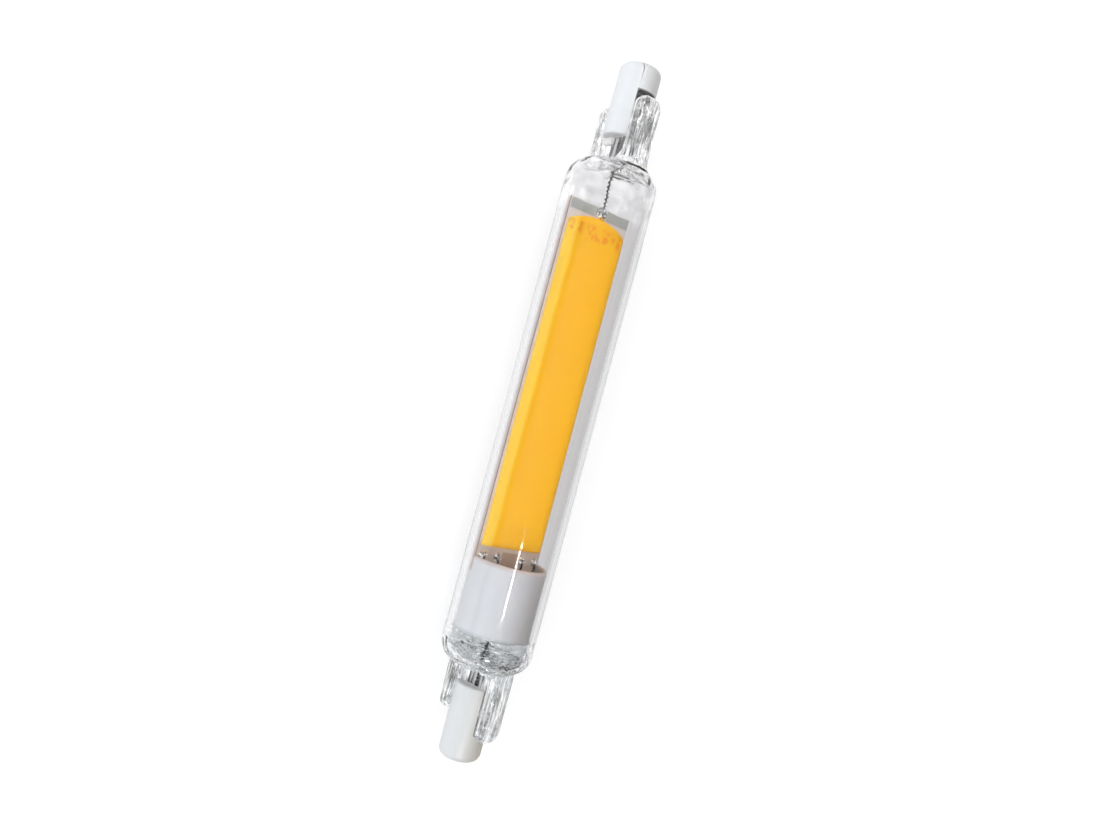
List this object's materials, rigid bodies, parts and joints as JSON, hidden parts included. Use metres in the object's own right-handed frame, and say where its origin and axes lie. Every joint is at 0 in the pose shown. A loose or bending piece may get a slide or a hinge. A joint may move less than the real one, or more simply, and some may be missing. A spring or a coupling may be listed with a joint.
{
  "type": "double-ended tubular led lamp",
  "caption": "Slim glass tube lamp with pressed ends, slotted ceramic caps and a long yellow LED strip on a board, with a white driver sleeve near one end.",
  "frame": {"origin": "middle of the lamp, on the axis of its glass tube, halfway between the ends of its caps", "axes": "+X along the lamp towards the end away from the driver sleeve, +Z square to the front of the LED board"},
  "size_m": [0.1176, 0.0154, 0.0154],
  "materials": {
    "clear_glass": "clear blown glass, streaked where it was pressed",
    "white_ceramic": "matt off-white steatite",
    "sealing_cement": "rough white cement",
    "nickel_contact": "nickel plated, satin",
    "dark_ribbon_metal": "dark grey rolled ribbon",
    "lead_wire": "dark drawn wire",
    "white_metal_board": "white coated metal board",
    "tinned_band": "tinned copper, satin",
    "yellow_phosphor": "silicone filled with yellow phosphor",
    "led_chip": "polished blue-grey chip",
    "solder": "bright solder",
    "white_sleeve": "white heat-shrunk sleeve",
    "driver_laminate": "green lacquered laminate",
    "black_moulding": "black moulded component"
  },
  "bodies": {
    "root": {"bridge_rectifier": "black_moulding", "driver_board": "driver_laminate", "driver_chip_1": "black_moulding", "driver_chip_2": "black_moulding", "driver_sleeve": "white_sleeve", "driver_solder": "solder", "glass_envelope": "clear_glass", "led_board": "white_metal_board", "led_chips": "led_chip", "link_pin_1": "lead_wire", "link_pin_2": "lead_wire", "link_pin_3": "lead_wire", "link_pin_4": "lead_wire", "link_solder_1": "solder", "link_solder_2": "solder", "link_solder_3": "solder", "link_solder_4": "solder", "lower_cap": "white_ceramic", "lower_cement": "sealing_cement", "lower_contact": "nickel_contact", "lower_foil": "dark_ribbon_metal", "lower_inner_lead": "lead_wire", "lower_outer_lead": "lead_wire", "lower_solder_joint": "solder", "phosphor_strip": "yellow_phosphor", "resistor_1": "black_moulding", "resistor_2": "black_moulding", "upper_cap": "white_ceramic", "upper_cement": "sealing_cement", "upper_contact": "nickel_contact", "upper_foil": "dark_ribbon_metal", "upper_inner_lead": "lead_wire", "upper_outer_lead": "lead_wire", "upper_pad": "tinned_band", "upper_solder_joint": "solder"}
  },
  "joints": []
}
